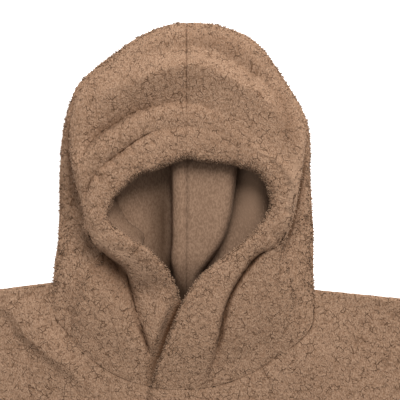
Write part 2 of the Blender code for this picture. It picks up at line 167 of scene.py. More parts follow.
# The inside of the hood's back: its middle stands up between two pleats, beside a soft cheek.
PLEAT_COLUMNS = ("y", "left", "right", "rise", "left_cheek", "right_cheek")
PLEATS = (
    (-12, -10, 11, 0.0, 0, 0),
    (8, -15, 13, 0.4, 1, 0),
    (28, -18, 24, 0.78, 3, 3),
    (53, -16, 40, 0.95, 6, 8),
    (75, -16, 47, 1.0, 9, 12),
    (102, -16, 51, 1.0, 10, 14),
    (135, -17, 55, 1.0, 8, 12),
    (160, -18, 56, 0.8, 4, 6),
    (200, -18, 56, 0.15, 0, 0),
    (230, -18, 56, 0.0, 0, 0),
)
PLEAT_RISE = 26.0
CHEEK_SHARE = 0.42          # share of the way from the outline to the back seam
# Share of the way from the outline to the back seam, run under the pleat opened and folded, height.
PLEAT_STEPS = (
    (0.56, -7.0, 8.0, 0.0),
    (0.66, -3.0, 13.0, 0.26),
    (0.76, 0.0, 8.0, 0.5),
    (0.86, 3.0, 0.0, 0.78),
    (0.93, 7.0, 6.0, 1.0),
)
# From the lip to the outline: share of the tuck it runs back, share of the way, height tucked and plain.
LIP_STEPS = (
    (0.9, 0.12, 0.6, 0.72),
    (0.5, 0.35, 0.38, 0.45),
    (0.0, 0.78, 0.3, 0.24),
)

# A fold: how far it reaches on the left and right of its line, how blunt its sides are, and rows of x, y and
# its height there. A mark paints a share of shade or light into the colour in place of a height, on one half
# of the hood (-1: left, 1: right, 0: both) and between two places along its sections.
Fold = namedtuple("Fold", "left right blunt rows")
Mark = namedtuple("Mark", "side places left right blunt rows")
INSIDE = (RIM + 1.5, 99)    # the places that show inside the hood

HOOD_FOLDS = {
    "crown_crease": Fold(22.0, 4.5, 1.4, (
        (-115, 130, 0), (-112, 144, -6), (-105, 157, -12), (-92, 170, -15), (-78, 178, -15),
        (-61, 189, -13), (-33, 199, -10), (0, 202, -6), (16, 199, -4), (36, 192, -2), (70, 176, 0))),
    "crown_ridge": Fold(6.0, 19.0, 1.5, (
        (-100, 209, 0), (-84, 216, 3), (-62, 225, 5.5), (-40, 233, 7), (-18, 240, 8), (0, 243, 8),
        (20, 241, 8), (42, 232, 7.5), (64, 219, 6.5), (86, 205, 5), (110, 180, 0))),
    "crown_crest": Fold(3.2, 6.0, 1.4, (
        (-80, 226, 0), (-61, 235, 1.2), (-40, 242, 2.2), (-18, 248, 2.8), (0, 252, 3), (26, 248, 3),
        (47, 240, 3), (67, 227, 3), (84, 217, 2), (100, 206, 0))),
    "crown_dip": Fold(9.0, 6.5, 1.6, (
        (-76, 241, 0), (-50, 251, -1.5), (-20, 261, -3), (0, 264, -3.5), (20, 262, -4), (42, 252, -4.5),
        (64, 240, -5.5), (86, 225, -6), (100, 208, -5), (111, 190, -3), (116, 170, 0))),
    "crown_seam": Fold(3.2, 3.2, 1.4, (
        (0, 288, 0), (0, 274, -0.8), (0, 262, -2), (0, 240, -2.2), (0, 205, -2), (0, 190, -0.6),
        (0, 176, 0))),
    "left_hollow": Fold(5.0, 26.0, 1.5, (
        (-106, 62, 0), (-99, 50, -5), (-84, 37, -8), (-70, 22, -9), (-64, 4, -6), (-58, -18, -2.6),
        (-52, -38, -1), (-46, -60, 0))),
    "right_hollow": Fold(5.0, 3.5, 1.5, (
        (92, 50, 0), (81, 41, -0.8), (68, 25, -1.2), (57, 9, -1.4), (47, -7, -1.4), (42, -22, -1.4),
        (38, -41, -1.3), (33, -61, -0.7), (31, -74, 0))),
    "right_ridge": Fold(6.0, 9.0, 1.3, (
        (40, 176, 0), (60, 162, 2), (86, 146, 4), (108, 130, 4.5), (117, 113, 4.5), (117, 98, 4),
        (114, 80, 3.5), (108, 62, 2), (100, 50, 0))),
}
BAND_FOLDS = {
    "lapel_tuck": Fold(8.0, 6.0, 1.7, (
        (-62, 14, 0), (-53, 5, -1.2), (-45, -2, -2.0), (-40, -9, -1.4), (-37, -20, 0))),
    "left_cushion": Fold(5.0, 15.0, 1.8, (
        (-16, -2, 0), (-20, -12, 4), (-25, -26, 8), (-30, -40, 9), (-35, -55, 8), (-39, -68, 6),
        (-43, -82, 4), (-46, -96, 0))),
}
# Painted shade in the pile, where it lies deep in shadow.
PAINTED_SHADES = (
    # What the right lapel's edge lies on.
    Mark(-1, (EDGE, GROOVE + 1), 4.0, 5.4, 2.2, (
        (-4, -8, 0.2), (-7, -18, 0.9), (-13, -30, 1.0), (-19, -43, 1.0), (-24, -57, 0.95), (-29, -72, 0.85),
        (-35, -84, 0.7), (-39, -97, 0.5), (-42, -106, 0.2))),
    # The hollow under the left lapel.
    Mark(-1, (GROOVE, LIP + 1), 2.0, 22.0, 1.8, (
        (-112, 60, 0.1), (-105, 46, 0.5), (-90, 36, 0.68), (-76, 28, 0.72), (-67, 16, 0.66), (-62, 2, 0.4),
        (-57, -16, 0.16), (-52, -36, 0.05), (-46, -56, 0))),
    # Under the right side of the crown.
    Mark(1, (LIP + 0.2, RIM + 1), 2.0, 3.6, 1.5, (
        (131, 152, 0), (129, 138, 0.5), (125, 111, 0.75), (119, 82, 0.8), (111, 56, 0.7), (102, 44, 0.3),
        (94, 40, 0))),
    # The inner side of the turned hem, that leans into the opening.
    Mark(-1, (-1, EDGE - 0.4), 13.0, 10.0, 2.0, (
        (-86, 98, 0.1), (-74, 84, 0.32), (-60, 68, 0.38), (-44, 54, 0.32), (-28, 40, 0.15))),
    # The right of the brim, that faces away from the light.
    Mark(1, (EDGE, LIP), 16.0, 13.0, 2.0, (
        (2, 166, 0), (18, 164, 0.14), (42, 158, 0.17), (62, 149, 0.12), (78, 138, 0.03), (88, 130, 0))),
    # Between the crown's ridge and its outline, more on the right.
    Mark(1, (GROOVE, RIM + 1), 12.0, 8.5, 2.4, (
        (0, 274, 0.12), (20, 271, 0.3), (42, 266, 0.33), (64, 254, 0.26), (84, 238, 0.14), (96, 222, 0))),
    Mark(-1, (GROOVE, RIM + 1), 9.0, 8.0, 2.4, (
        (-62, 246, 0), (-44, 257, 0.08), (-22, 267, 0.13), (0, 272, 0.12))),
    # Where the right of the crown turns down.
    Mark(1, (GROOVE, LIP + 1), 9.0, 10.0, 2.0, (
        (88, 226, 0), (101, 209, 0.25), (108, 190, 0.38), (112, 170, 0.35), (115, 150, 0.1),
        (117, 136, 0))),
)
# Painted shade inside the hood: beside the left pleat, and at the low end of the face opening.
INSIDE_PAINTED_SHADES = (
    Mark(-1, INSIDE, 6.0, 16.0, 1.8, (
        (-26, 130, 0.0), (-26, 108, 0.4), (-26, 86, 0.8), (-24, 60, 0.85), (-23, 34, 0.85), (-18, 12, 0.7),
        (-10, -4, 0.6))),
    Mark(0, INSIDE, 12.0, 12.0, 2.0, (
        (-14, 18, 0.1), (-9, 6, 0.55), (-4, -6, 0.95), (2, -20, 1.0))),
)
# Painted light inside the hood, where its right side catches the light.
INSIDE_PAINTED_LIGHT = (
    Mark(1, INSIDE, 17.0, 17.0, 2.0, (
        (70, 124, 0.8), (72, 104, 1.0), (66, 82, 0.8), (58, 60, 0.3), (48, 40, 0))),
)
# Painted highlights: paler pile on ridges and edges that face the light.
PAINTED_HIGHLIGHTS = (
    Mark(-1, (GROOVE + 0.5, LIP + 1), 20.0, 20.0, 2.0, (
        (-116, 10, 0), (-108, -14, 0.16), (-98, -36, 0.2), (-86, -60, 0.15), (-76, -80, 0))),
    Mark(1, (EDGE, GROOVE - 0.3), 14.0, 14.0, 2.0, (
        (40, 10, 0), (22, -16, 0.18), (10, -50, 0.22), (4, -76, 0.15), (0, -98, 0))),
    Mark(0, (EDGE, GROOVE + 0.5), 8.0, 8.0, 2.0, (
        (-60, 140, 0), (-36, 156, 0.25), (0, 162, 0.3), (30, 160, 0.2), (56, 150, 0))),
    Mark(-1, (EDGE, GROOVE - 0.2), 6.0, 5.0, 2.0, (
        (-106, 68, 0), (-97, 53, 0.7), (-76, 42, 0.85), (-62, 32, 0.8), (-48, 19, 0.6), (-40, 8, 0.4),
        (-34, -6, 0))),
    Mark(1, (GROOVE - 1, LIP + 1), 4.5, 9.5, 2.0, (
        (120, 156, 0), (119, 140, 0.5), (117, 118, 0.85), (115, 98, 0.9), (111, 76, 0.75), (105, 62, 0.4),
        (98, 54, 0))),
    Mark(0, (GROOVE, RIM), 3.0, 4.0, 1.8, (
        (-76, 230, 0), (-60, 237, 0.25), (-40, 243, 0.45), (-18, 250, 0.55), (0, 254, 0.6), (22, 250, 0.45),
        (44, 241, 0.2), (64, 229, 0.25), (84, 218, 0.25), (98, 208, 0))),
)

# Puckers beside the hem's stitches: middle, direction in degrees, length, depth.
PUCKERS = (
    (-103, 108, 20, 12, -1.6), (-95, 122, 118, 15, -2.4), (-86, 134, 40, 12, -1.5),
    (-80, 139, 145, 17, -2.8), (-68, 148, 62, 13, -2.0), (-58, 153, 112, 18, -2.6),
    (-47, 160, 75, 11, -1.5), (-35, 160, 125, 15, -1.8), (-17, 168, 95, 12, -1.2),
    (-102, 88, 165, 12, -1.5), (-90, 62, 50, 14, -1.8), (-72, 40, 75, 12, -1.5),
    (22, 164, 80, 12, -1.0), (47, 160, 55, 14, -1.4), (74, 150, 70, 12, -1.2),
    (96, 137, 30, 15, -1.6), (111, 112, 5, 12, -1.3), (110, 84, 160, 14, -1.7),
    (95, 58, 120, 12, -1.5), (70, 30, 130, 14, -1.4), (50, 2, 165, 11, -1.2),
    (44, -30, 10, 13, -1.0), (-57, -8, 15, 12, -1.0), (-48, -48, 160, 13, -1.0),
)
PUCKER_WIDTH = 2.6

BODY_FOLDS = {
    "left_step": Fold(40.0, 7.0, 2.0, (
        (-260, 0, 0), (-215, -12, 3), (-192, -26, 5), (-178, -48, 6), (-156, -68, 6), (-134, -85, 4),
        (-112, -104, 2), (-92, -122, 0))),
    "left_drape": Fold(24.0, 32.0, 2.0, (
        (-160, -140, 0), (-215, -210, 6), (-265, -300, 13), (-300, -420, 14), (-322, -540, 9),
        (-335, -650, 0))),
    "right_drape": Fold(26.0, 34.0, 2.0, (
        (150, -110, 0), (205, -190, 5), (252, -290, 12), (290, -410, 15), (318, -520, 11), (330, -640, 0))),
    "middle_drape": Fold(32.0, 26.0, 2.0, (
        (20, -190, 0), (38, -280, 6), (52, -380, 11), (48, -500, 10), (36, -600, 6), (30, -700, 0))),
    "left_side": Fold(22.0, 30.0, 2.0, (
        (-330, -95, 0), (-372, -140, 6), (-412, -205, 10), (-436, -285, 11), (-446, -370, 7),
        (-448, -450, 0))),
    "right_side": Fold(26.0, 20.0, 2.0, (
        (345, -110, 0), (392, -170, 8), (424, -250, 12), (440, -345, 8), (448, -430, 0))),
    "left_hem": Fold(20.0, 26.0, 2.0, (
        (-158, -455, 0), (-172, -540, 6), (-184, -630, 10), (-192, -700, 11), (-196, -760, 9))),
    "right_hem": Fold(24.0, 18.0, 2.0, (
        (172, -500, 0), (180, -590, 8), (176, -680, 12), (168, -760, 10))),
    "side_hem": Fold(18.0, 24.0, 2.0, (
        (-392, -500, 0), (-412, -580, 7), (-438, -650, 9), (-470, -720, 7))),
}


# ---- curves
def table(rows, columns):
    """A table of rows as one array for each named column."""
    return {name: np.array([row[i] for row in rows], float) for i, name in enumerate(columns)}


def spline(knots, values, at):
    """A smooth curve through values at uneven knots, with slopes weighted by the spacing."""
    knots, at = np.asarray(knots, float), np.asarray(at, float)
    values = np.asarray(values, float)
    flat = values.reshape(len(knots), -1)
    step = np.diff(knots)[:, None]
    rate = np.diff(flat, axis=0) / step
    slope = np.empty_like(flat)
    slope[1:-1] = (rate[:-1] * step[1:] + rate[1:] * step[:-1]) / (step[:-1] + step[1:])
    slope[0], slope[-1] = rate[0], rate[-1]
    i = np.clip(np.searchsorted(knots, at, side="right") - 1, 0, len(knots) - 2)
    width = step[i]
    t = (at - knots[i])[:, None] / width
    out = (flat[i] * (2 * t**3 - 3 * t**2 + 1) + flat[i + 1] * (3 * t**2 - 2 * t**3)
           + slope[i] * width * (t**3 - 2 * t**2 + t) + slope[i + 1] * width * (t**3 - t**2))
    return out.reshape(at.shape + values.shape[1:])


def unit(v):
    return v / np.maximum(np.linalg.norm(v, axis=-1, keepdims=True), 1e-9)


def smooth(x):
    """0 below 0, 1 above 1, and a smooth rise between."""
    x = np.clip(x, 0.0, 1.0)
    return x * x * (3 - 2 * x)


def round_off(distance, radius):
    """Share of a wall's half thickness that is left near its rounded edge."""
    return np.sqrt(1 - np.clip(1 - distance / radius, 0, 1) ** 2)


def running(steps):
    """The running total of steps, from 0."""
    return np.concatenate([[0], np.cumsum(steps)])


def arc_lengths(line):
    return running(np.linalg.norm(np.diff(line[:, :2], axis=0), axis=1))


def rightward(heading):
    """Plan directions turned a quarter to their right."""
    return np.stack([heading[:, 1], -heading[:, 0]], axis=1)


def spaced(line, spacing):
    """The line again, with points at about the given spacing."""
    lengths = arc_lengths(line)
    at = np.linspace(0, lengths[-1], max(2, int(round(lengths[-1] / spacing)) + 1))
    return np.stack([np.interp(at, lengths, line[:, k]) for k in range(line.shape[1])], axis=1)


def dense(points, count=600):
    """A smooth curve through points, as many points close together."""
    points = np.array(points, float)
    reach = arc_lengths(points)
    return spline(reach, points, np.linspace(0, reach[-1], count))


def nearest(line, points):
    """The points of a dense line that lie nearest to the given ones."""
    gap = np.linalg.norm(line[None] - points[:, None], axis=2)
    return line[np.argmin(gap, axis=1)]


def relief(folds, points):
    """Height that the folds add at each plan point."""
    flat = points.reshape(-1, 2)
    height = np.zeros(len(flat))
    for fold in folds:
        line = dense(fold.rows, 160)
        reach = 3.0 * max(fold.left, fold.right)
        low, high = line[:, :2].min(0) - reach, line[:, :2].max(0) + reach
        near = np.where(((flat > low) & (flat < high)).all(1))[0]
        for part in np.array_split(near, max(1, len(near) // 20000)):
            offset = flat[part, None] - line[None, :, :2]
            close = np.argmin((offset ** 2).sum(2), axis=1)
            gap = offset[np.arange(len(part)), close]
            along = np.gradient(line[:, :2], axis=0)[close]
            on_left = along[:, 0] * gap[:, 1] - along[:, 1] * gap[:, 0] > 0
            width = np.where(on_left, fold.left, fold.right)
            height[part] += line[close, 2] * np.exp(-(np.linalg.norm(gap, axis=1) / width) ** fold.blunt)
    return height.reshape(points.shape[:-1])


def painted(marks, grid, places, side):
    """Share of painted shade or painted highlight at each point of a hood half's grid."""
    share = np.zeros(grid.shape[:2])
    for mark in marks:
        if mark.side in (0, side):
            here = (places > mark.places[0]) & (places < mark.places[1])
            share = np.maximum(share, relief([mark], grid[..., :2]) * here)
    return share


def pucker_folds():
    """The puckers as folds: each a short trough, a little bowed, that starts and ends in nothing."""
    folds = []
    for x, y, turn, length, depth in PUCKERS:
        along = np.array([math.cos(math.radians(turn)), math.sin(math.radians(turn))])
        aside = np.array([-along[1], along[0]])
        rows = []
        for reach, share in ((-0.5, 0), (-0.15, 1), (0.2, 0.7), (0.5, 0)):
            spot = np.array([x, y]) + along * reach * length + aside * (0.25 - reach**2) * 0.25 * length
            rows.append((spot[0], spot[1], depth * share))
        folds.append(Fold(PUCKER_WIDTH, PUCKER_WIDTH * 1.3, 1.6, rows))
    return folds


# ---- noise
def cell_values(cells, seed):
    """A number from 0 to 1 for each whole-number cell, always the same for the same seed."""
    with np.errstate(over="ignore"):
        x, y, z = (cells[..., k].astype(np.int64).astype(np.uint32) for k in range(3))
        h = x * np.uint32(0x9E3779B1) ^ y * np.uint32(0x85EBCA77) ^ z * np.uint32(0xC2B2AE3D)
        h ^= np.uint32(seed * 7919 + 17)
        for shift, factor in ((15, 0x2C1B3C6D), (12, 0x297A2D39)):
            h ^= h >> np.uint32(shift)
            h = h * np.uint32(factor)
        h ^= h >> np.uint32(15)
    return h.astype(float) / 2**32


def value_noise(points, size, seed):
    """Smooth noise from -1 to 1 whose lumps are about the given size."""
    p = points / size
    base = np.floor(p)
    t = smooth(p - base)
    total = np.zeros(len(p))
    for corner in itertools.product((0, 1), repeat=3):
        share = np.prod(np.where(np.array(corner) == 1, t, 1 - t), axis=1)
        total += share * cell_values(base + np.array(corner), seed)
    return total * 2 - 1


def layered(points, layers):
    """The sum of noises, each with its size, seed and share."""
    return sum(value_noise(points, size, seed) * share for size, seed, share in layers)


def cellular(points, size, seed):
    """Distances to the two nearest of the scattered centres, in cells."""
    p = points / size
    base = np.floor(p)
    first = np.full(len(p), 9.0)
    second = np.full(len(p), 9.0)
    for offset in itertools.product((-1, 0, 1), repeat=3):
        cell = base + np.array(offset)
        centre = cell + np.stack([cell_values(cell, seed + k) for k in range(3)], axis=1)
        gap = np.linalg.norm(p - centre, axis=1)
        closer = gap < first
        second = np.where(closer, first, np.minimum(second, gap))
        first = np.where(closer, gap, first)
    return first, second


# ---- the hood's cloth
def pleats_at(y):
    """Edges, rise and cheeks of the hood's back at each height y."""
    pleats = table(PLEATS, PLEAT_COLUMNS)
    y = np.clip(y, PLEATS[0][0], PLEATS[-1][0])
    return {name: spline(pleats["y"], pleats[name], y) for name in PLEAT_COLUMNS[1:]}


def point(xy, z):
    z = np.broadcast_to(np.asarray(z, float), (len(xy),))
    return np.concatenate([xy, z[:, None]], axis=1)


def front_controls(row, side):
    """The turned hem and the front of each section, as far as the outline."""
    def plan(name):
        return np.stack([row[name + "_x"], row[name + "_y"]], axis=1)

    edge, groove, lip, rim = plan("edge"), plan("groove"), plan("lip"), plan("rim")
    edge_z, groove_z, puff, lip_z = row["edge_z"], row["groove_z"], row["puff"], row["lip_z"]
    outward = unit(groove - edge)
    band = np.linalg.norm(groove - edge, axis=1)
    full = smooth((edge_z - 14) / 20)
    under = LAYER + 0.8 + ROLL * full
    radius = under / 2
    lean = row["lean"]
    points = []

    def set_out(run, height):
        """A point of each section, this far out from the face edge."""
        points.append(point(edge + outward * run[:, None], height))

    # The turned hem lies under the band, or leans into the opening where its inner side shows.
    swing = np.radians(HEM_SWING) * lean
    cheek = pleats_at(edge[:, 1])["left_cheek" if side < 0 else "right_cheek"]
    for inset, settled in ((HEM_TURN * (1 + 0.25 * lean), 1.0), (10.0, 0.25)):
        run = inset * np.cos(swing)
        drop = inset * np.sin(swing) * (0.45 + 1.1 * lean)
        rest = FLOOR + LAYER + 0.8 * cheek
        height = edge_z - under - drop
        height = height + (np.minimum(rest, height) - height) * lean * settled
        set_out(run, height)
    for angle in (-75, 0, 75):
        turn = math.radians(angle)
        run = radius * (1 - math.cos(turn)) * (0.5 if turn > 0 else 1 - lean)
        set_out(run, edge_z - radius * (1 - math.sin(turn)))
    set_out(band * 0.42, np.maximum(edge_z, groove_z) + 1.6 * full)
    steep = smooth((edge_z - groove_z - 4) / 8)
    firm = 0.62 + 0.25 * steep
    set_out(band * (0.8 + 0.12 * steep), edge_z * firm + groove_z * (1 - firm) + 1.3 * full)
    points.append(point(groove, groove_z))
    across = lip - groove
    near = np.minimum(11.0 / np.linalg.norm(across, axis=1), 0.35)
    points.append(point(groove + across * near[:, None], groove_z * 0.3 + puff * 0.7 + 0.8 * full))
    points.append(point(groove + across * 0.6, puff))
    points.append(point(groove + across * 0.9, 0.45 * puff + 0.55 * lip_z + 1.6))
    points.append(point(lip, lip_z))
    inward = unit(groove - lip) * row["tuck"][:, None]
    fall = rim - lip
    tucked = np.clip(row["tuck"] / 8, 0, 1)
    rim_z = np.minimum(RIM_HEIGHT, 0.3 * lip_z + 2.3)
    for back, along, folded, plain in LIP_STEPS:
        share = tucked * folded + (1 - tucked) * plain
        points.append(point(lip + inward * back + fall * along, rim_z + (lip_z - rim_z) * share))
    points.append(point(rim, rim_z))
    return points


def back_controls(row, side):
    """The back of each section, from the outline to the centre-back seam."""
    rim = np.stack([row["rim_x"], row["rim_y"]], axis=1)
    seam = np.stack([np.zeros(len(rim)), row["seam_y"]], axis=1)
    home = seam - rim
    crease_name, cheek_name = ("left", "left_cheek") if side < 0 else ("right", "right_cheek")
    points = [point(rim + unit(home) * 5.0, FLOOR)]
    for share, height in ((0.17, 0.12), (CHEEK_SHARE, 1.0)):
        xy = rim + home * share
        points.append(point(xy, FLOOR + pleats_at(xy[:, 1])[cheek_name] * height))
    # The cloth runs under its own fold, comes back out to the pleat's edge, and turns over.
    for share, opened, folded, level in PLEAT_STEPS:
        x, y = (rim + home * share).T
        pleat = pleats_at(y)
        crease, rise = pleat[crease_name], pleat["rise"]
        run = opened + (folded - opened) * smooth((rise - 0.45) / 0.4)
        apart = smooth((abs(rim[:, 0]) * (1 - CHEEK_SHARE) - abs(crease) - 7) / 8)
        x = x + (crease - side * run - x) * apart
        points.append(point(np.stack([x, y], axis=1), FLOOR + PLEAT_RISE * level * rise))
    points.append(point(seam, FLOOR + PLEAT_RISE * pleats_at(seam[:, 1])["rise"]))
    return points


def hood_controls(sections, side, row_at):
    """The named points of the sections at the given places between the table's rows."""
    columns = table(sections, SECTION_COLUMNS)
    row = {}
    for name, values in columns.items():
        mirrored = -values[-2] if name.endswith("_x") else values[-2]
        row[name] = spline(np.arange(len(sections) + 1), np.append(values, mirrored), row_at)
    controls = np.stack(front_controls(row, side) + back_controls(row, side), axis=1)
    controls[-1, :, 0] = 0.0
    return controls


def even_rows(sections, side):
    """Places between the table's rows whose sections lie evenly far apart."""
    trial = np.linspace(0, len(sections) - 1, 400)
    controls = hood_controls(sections, side, trial)
    step = np.linalg.norm(np.diff(controls, axis=0), axis=2)
    reach = running(step[:, [EDGE, GROOVE, LIP, RIM]].max(axis=1))
    count = INNER_STEP * int(round(reach[-1] / HOOD_FINE / INNER_STEP)) + 1
    return np.interp(np.linspace(0, reach[-1], count), reach, trial)


def even_places(controls):
    """Places along the sections, fine on the front and wider under the hem and on the back."""
    lengths = np.percentile(np.linalg.norm(np.diff(controls, axis=1), axis=2), 75, axis=0)
    places = [np.array([0.0])]
    for k, length in enumerate(lengths):
        spacing = HEM_SPACING if k < 2 else HOOD_FINE if k < RIM else BACK_SPACING
        count = max(2, int(round(length / spacing)))
        places.append(k + np.arange(1, count + 1) / count)
    places = np.concatenate(places)
    # A few more rows of points on the back, so that the inner side ends at the seam too.
    short = (1 - len(places)) % INNER_STEP
    extra = [places[-1 - k] - (places[-1 - k] - places[-2 - k]) / 2 for k in range(short)]
    return np.sort(np.concatenate([places, extra]))


def window(places, first, last, rise=1.0, fall=1.0):
    """1 between two places along the sections, rising smoothly after the first, falling before the last."""
    return smooth((places - first) / rise) * smooth((last - places) / fall)


def hood_middle(sections, side):
    """The middle surface of one half of the hood, finely, its places, and a share of painted shade along the
    stitches' trough.
    """
    row_at = even_rows(sections, side)
    controls = hood_controls(sections, side, row_at)
    places = even_places(controls)
    grid = []
    for points in controls:
        gap = np.linalg.norm(np.diff(points, axis=0), axis=1)
        knots = running(np.sqrt(np.maximum(gap, 0.2)))
        grid.append(spline(knots, points, np.interp(places, np.arange(len(points)), knots)))
    grid = np.array(grid)
    edge_at, middle_at, groove_at, rim_at = (int(np.argmin(abs(places - k)))
                                             for k in (EDGE, EDGE + 2, GROOVE, RIM))
    front = window(places, GROOVE - 3.0 * (side > 0), LIP + 0.6, 1.2)
    band = window(places, EDGE + 0.6, GROOVE + 0.2, 0.6, 0.8) * (side < 0)
    hem = window(places, EDGE + 0.6, LIP - 1, 0.8)
    for folds, shown in ((HOOD_FOLDS.values(), front), (BAND_FOLDS.values(), band), (pucker_folds(), hem)):
        grid[..., 2] += relief(folds, grid[..., :2]) * shown
    # The stitches pull the pile in unevenly.
    stitch = np.interp(row_at, np.arange(len(sections)), table(sections, SECTION_COLUMNS)["stitch"])
    reach = np.cumsum(np.linalg.norm(np.diff(grid, axis=1, prepend=grid[:, :1]), axis=2), axis=1)
    sewn = grid[:, groove_at]
    pull = np.clip(0.85 + layered(sewn, STITCH_LUMPS), 0, 2)
    apart = abs(reach - reach[:, [groove_at]])
    apart = abs(apart - 1.2 * value_noise(sewn, 9.0, 152)[:, None])
    pulled = (stitch * pull)[:, None]
    grid[..., 2] -= pulled * np.exp(-(apart / STITCH_WIDTH) ** 1.4)
    grid[..., 2] = np.maximum(grid[..., 2], FLOOR)
    # The face edge is lumpy where the pile turns over it.
    edge = grid[:, edge_at]
    push = layered(edge, EDGE_LUMPS)[:, None, None] * unit(grid[:, middle_at, :2] - edge[:, :2])[:, None]
    grid[..., :2] += push * np.exp(-((places - EDGE) / 1.3) ** 2)[None, :, None]
    # Near the neck the rows close in on the seam's own line, and lie level beside it.
    home = grid[0, :, :2].copy()
    home[:rim_at + 1] = nearest(dense(NECK_FRONT), grid[0, :rim_at + 1, :2])
    home[rim_at:] = nearest(dense(NECK_BACK), grid[0, rim_at:, :2])
    home[-1, 0] = 0.0
    shift = home - grid[0, :, :2]
    away = np.linalg.norm(grid[..., :2] - grid[:1, :, :2], axis=2)
    grid[..., :2] += shift[None] * smooth(1 - away / NECK_CLOSE)[..., None]
    grid[..., 2] += (grid[:1, :, 2] - grid[..., 2]) * smooth(1 - away / 5)
    grid[:, -1, 0] = 0.0
    # The last is a share of painted shade in the trough over the stitches.
    return grid, places, np.clip(pulled / 2.2, 0, 1) * np.exp(-(apart / 1.2) ** 2)


def seam_show(points):
    """How deep the groove over the neck seam is at each of its points; the pile closes over the rest."""
    plan = np.concatenate([points[:, :2], np.zeros((len(points), 1))], axis=1)
    return np.clip(0.36 + layered(plan, SEAM_LUMPS), 0.05, 0.9)


def side_distances(grid):
    """Distance of each grid point from the neck seam, the centre seam's front, the hem and the back seam."""
    down = np.linalg.norm(np.diff(grid, axis=0), axis=2)
    across = np.linalg.norm(np.diff(grid, axis=1), axis=2)
    from_neck = np.concatenate([np.zeros((1, grid.shape[1])), np.cumsum(down, axis=0)])
    from_hem = np.concatenate([np.zeros((grid.shape[0], 1)), np.cumsum(across, axis=1)], axis=1)
    return from_neck, from_neck[-1:] - from_neck, from_hem, from_hem[:, -1:] - from_hem


def strip(outer, inner, outer_at, inner_at):
    """Triangles between two lines of points, each with its place along them."""
    faces = []
    i = j = 0
    while i < len(outer) - 1 or j < len(inner) - 1:
        next_outer = outer_at[i + 1] if i < len(outer) - 1 else math.inf
        next_inner = inner_at[j + 1] if j < len(inner) - 1 else math.inf
        if next_outer <= next_inner:
            faces.append((outer[i], outer[i + 1], inner[j]))
            i += 1
        else:
            faces.append((outer[i], inner[j + 1], inner[j]))
            j += 1
    return np.array(faces)


def thin_out(grid):
    """Every few points of a grid, for the hood's inner side."""
    return grid[::INNER_STEP, ::INNER_STEP]


def quads(ids):
    """The two triangles of each cell in a grid of point numbers."""
    a, b, c, d = ids[:-1, :-1], ids[:-1, 1:], ids[1:, 1:], ids[1:, :-1]
    return np.concatenate([np.stack([a, b, c], -1).reshape(-1, 3), np.stack([a, c, d], -1).reshape(-1, 3)])


def hood_seams(grid, places):
    """Share of the neck seam's groove, and of the crown seam's, at each point of a hood half's grid."""
    outside = places < RIM + 1
    # The crown's seam is a sharp groove above the crease, and faint on the band and inside.
    crown = FAINT + (1 - FAINT) * smooth((grid[..., 1] - 192) / 10) * (places > GROOVE) * outside
    crown = crown * (0.5 + 0.35 * value_noise(grid.reshape(-1, 3), 9.0, 170).reshape(crown.shape))
    return seam_show(grid[0])[None], np.where(places > RIM + 1, BACK_SHARE * FAINT, crown)


def hood_shade(grid, places, side, stitch_shade, seams):
    """How much painted shade each point of a hood half's pile has: in seams, along the stitches, in pits and
    under the marks.
    """
    # Painted shade in pits, where the pile is stretched over the turn of the crown.
    turned = np.exp(-((places - LIP + 1.3) / 1.1) ** 2) * smooth((grid[..., 1] - 150) / 40)
    pit_shade = smooth((value_noise(grid.reshape(-1, 3), 2.6, 163) - 0.5) / 0.25).reshape(turned.shape)
    pit_shade = pit_shade * turned * (0.3 + 0.4 * (side > 0))
    marks = painted(PAINTED_SHADES, grid, places, side)
    return np.maximum.reduce([SEAM_SHADE * seams * (places <= RIM + 1), marks, 0.6 * stitch_shade, 0.55 * pit_shade])


